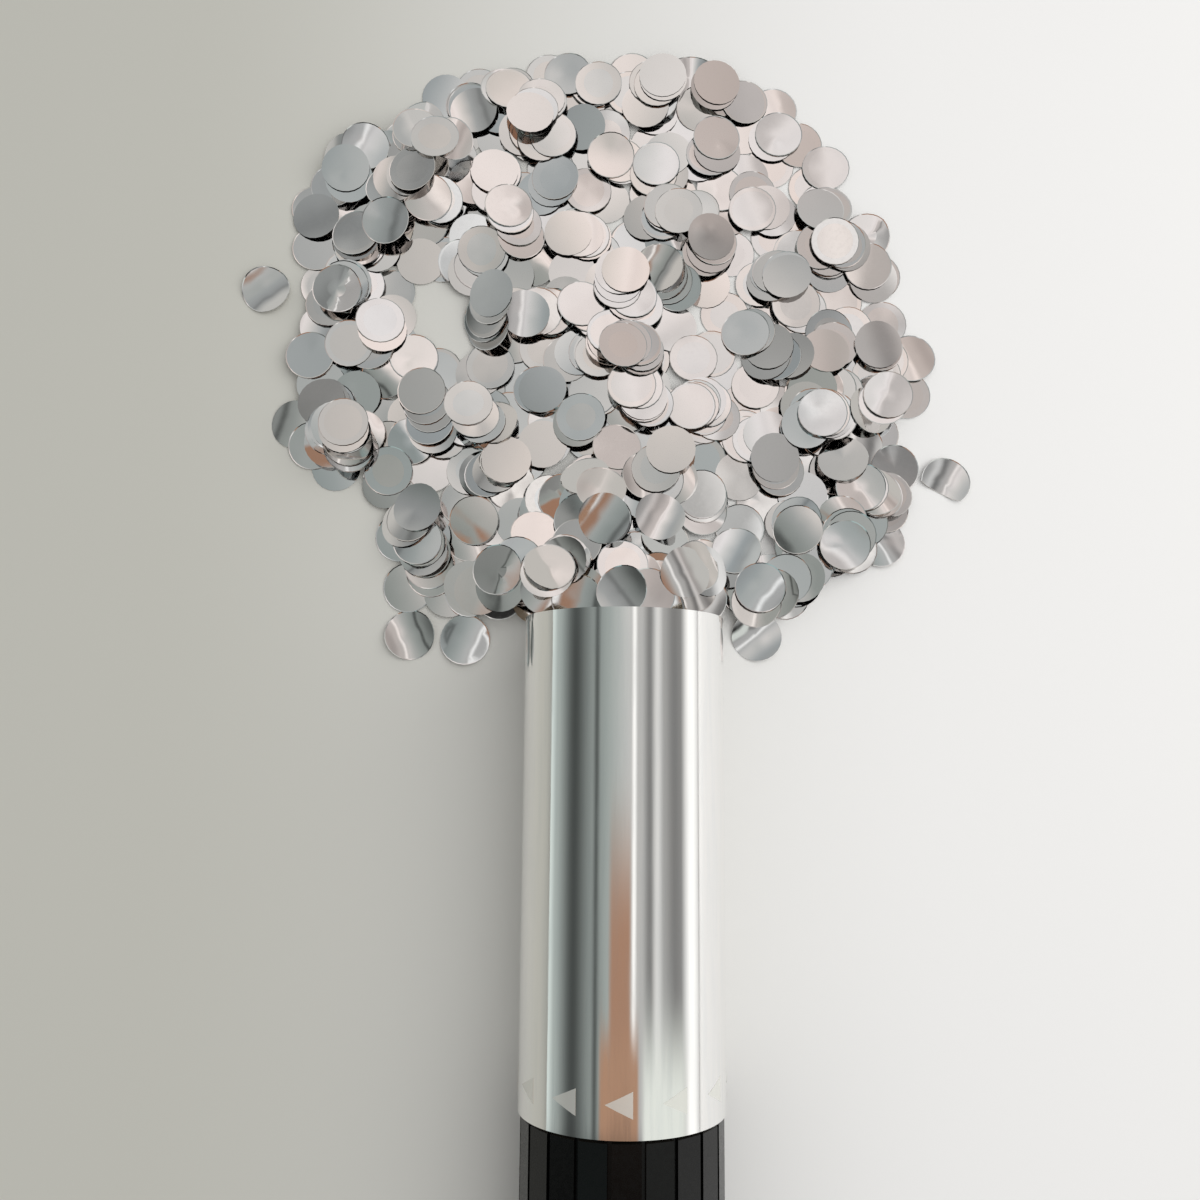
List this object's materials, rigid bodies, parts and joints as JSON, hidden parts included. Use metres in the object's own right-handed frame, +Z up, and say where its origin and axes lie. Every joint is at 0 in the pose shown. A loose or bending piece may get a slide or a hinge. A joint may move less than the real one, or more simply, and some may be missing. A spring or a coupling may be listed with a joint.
{
  "type": "confetti popper",
  "caption": "Twist-action confetti popper lying down: foil barrel, ribbed twist grip with a gas bottle and cam-held valve plug inside, and its round foil confetti spilled from the mouth.",
  "frame": {"origin": "on the table, under the middle of the box around the popper and its spilled confetti", "axes": "+Y along the barrel from the grip to the mouth, +Z up from the table, +X to the right"},
  "size_m": [0.2074, 0.375, 0.05],
  "materials": {
    "silver_foil": "bright mirror foil",
    "confetti_foil": "bright mirror foil, a little creased",
    "card": "plain wound card",
    "black_plastic": "satin moulded",
    "white_plastic": "moulded",
    "slick_plastic": "low-friction moulded",
    "bottle_metal": "spun",
    "spring_steel": "bright drawn",
    "black_rubber": "matt",
    "felt": "pressed"
  },
  "bodies": {
    "barrel": {"foil_wrap": "silver_foil", "barrel_tube": "card", "base_collar": "white_plastic", "retaining_clip": "spring_steel", "thrust_washer": "slick_plastic", "gas_bottle": "bottle_metal", "neck_gasket": "black_rubber", "valve_body": "white_plastic", "bottle_cradle": "white_plastic", "confetti_heap": "confetti_foil", "confetti_strays": "confetti_foil"},
    "grip": {"twist_grip": "black_plastic", "end_cap": "black_plastic", "cam_sleeve": "slick_plastic"},
    "plug": {"valve_plug": "slick_plastic", "plug_seal": "black_rubber", "cross_pin": "spring_steel", "plug_spring": "spring_steel"},
    "wad": {"wad_card": "card", "wad_felt": "felt"}
  },
  "joints": [
    {"name": "grip_twist", "type": "hinge", "parent": "barrel", "child": "grip", "pos_m": [0.00625, -0.1146, 0.025], "axis": [0, -1, 0], "range_deg": [0, 90]},
    {"name": "plug_slide", "type": "slide", "parent": "barrel", "child": "plug", "axis": [0, -1, 0], "range_m": [0, 0.008], "deforming": ["plug_spring"]},
    {"name": "wad_slide", "type": "slide", "parent": "barrel", "child": "wad", "axis": [0, 1, 0], "range_m": [0, 0.075]}
  ],
  "couplings": [
    {"joint": "plug_slide", "follows": "grip_twist", "m_per_rad": 0.0050929}
  ]
}
